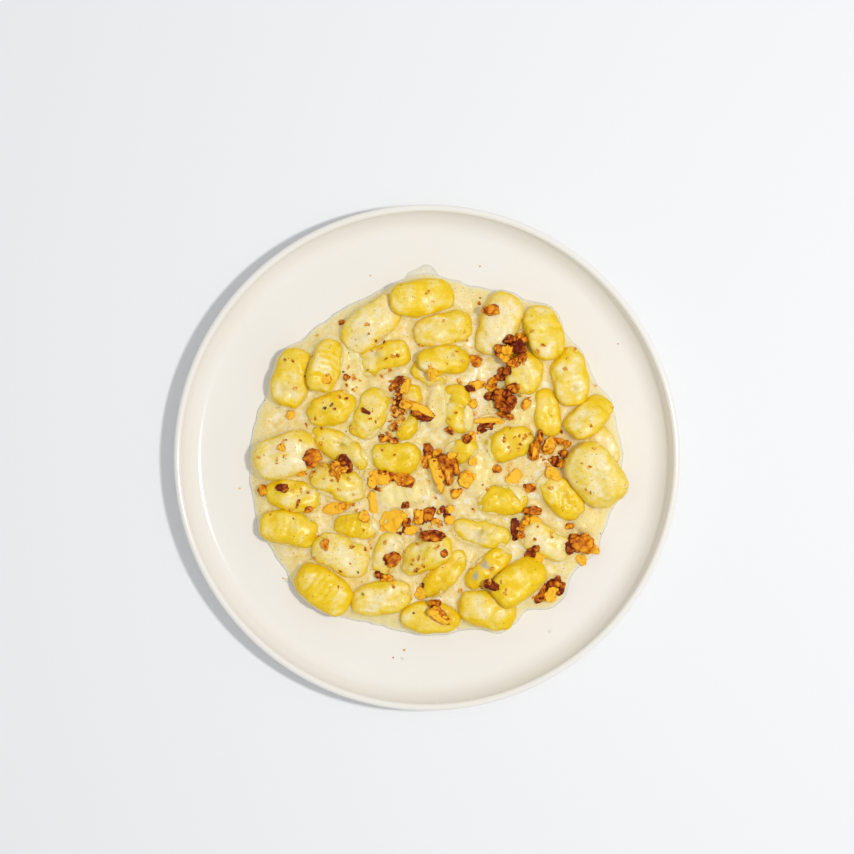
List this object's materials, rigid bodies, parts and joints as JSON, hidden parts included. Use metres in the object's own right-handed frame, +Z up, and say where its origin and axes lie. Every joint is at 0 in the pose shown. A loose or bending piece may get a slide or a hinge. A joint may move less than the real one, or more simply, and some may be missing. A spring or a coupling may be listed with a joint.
{
  "type": "plated potato gnocchi",
  "caption": "Plate of potato gnocchi in a pale cream sauce with broken walnuts, served on a round plate with a low upright rim.",
  "frame": {"origin": "middle of the plate's foot, on the surface that the plate stands on", "axes": "+Z up; the plate is round, and +X and +Y lie in the surface it stands on"},
  "size_m": [0.265, 0.265, 0.0294],
  "materials": {
    "glaze": "glossy warm off-white glaze on stoneware",
    "cream": "wet, pale yellow cream sauce with dark specks",
    "dough": "soft moist potato dough, yellow where bare and pale where coated with cream",
    "kernel": "broken walnut kernel, brown skin and golden flesh, oily"
  },
  "bodies": {
    "root": {"plate": "glaze", "sauce": "cream", "gnocco_01": "dough", "gnocco_02": "dough", "gnocco_03": "dough", "gnocco_04": "dough", "gnocco_05": "dough", "gnocco_06": "dough", "gnocco_07": "dough", "gnocco_08": "dough", "gnocco_09": "dough", "gnocco_10": "dough", "gnocco_11": "dough", "gnocco_12": "dough", "gnocco_13": "dough", "gnocco_14": "dough", "gnocco_15": "dough", "gnocco_16": "dough", "gnocco_17": "dough", "gnocco_18": "dough", "gnocco_19": "dough", "gnocco_20": "dough", "gnocco_21": "dough", "gnocco_22": "dough", "gnocco_23": "dough", "gnocco_24": "dough", "gnocco_25": "dough", "gnocco_26": "dough", "gnocco_27": "dough", "gnocco_28": "dough", "gnocco_29": "dough", "gnocco_30": "dough", "gnocco_31": "dough", "gnocco_32": "dough", "gnocco_33": "dough", "gnocco_34": "dough", "gnocco_35": "dough", "gnocco_36": "dough", "gnocco_37": "dough", "gnocco_38": "dough", "gnocco_39": "dough", "gnocco_40": "dough", "gnocco_41": "dough", "gnocco_42": "dough", "gnocco_43": "dough", "gnocco_44": "dough", "walnut_01": "kernel", "walnut_02": "kernel", "walnut_03": "kernel", "walnut_04": "kernel", "walnut_05": "kernel", "walnut_06": "kernel", "walnut_07": "kernel", "walnut_08": "kernel", "walnut_09": "kernel", "walnut_10": "kernel", "walnut_11": "kernel", "walnut_12": "kernel", "walnut_13": "kernel", "walnut_14": "kernel"}
  },
  "joints": []
}
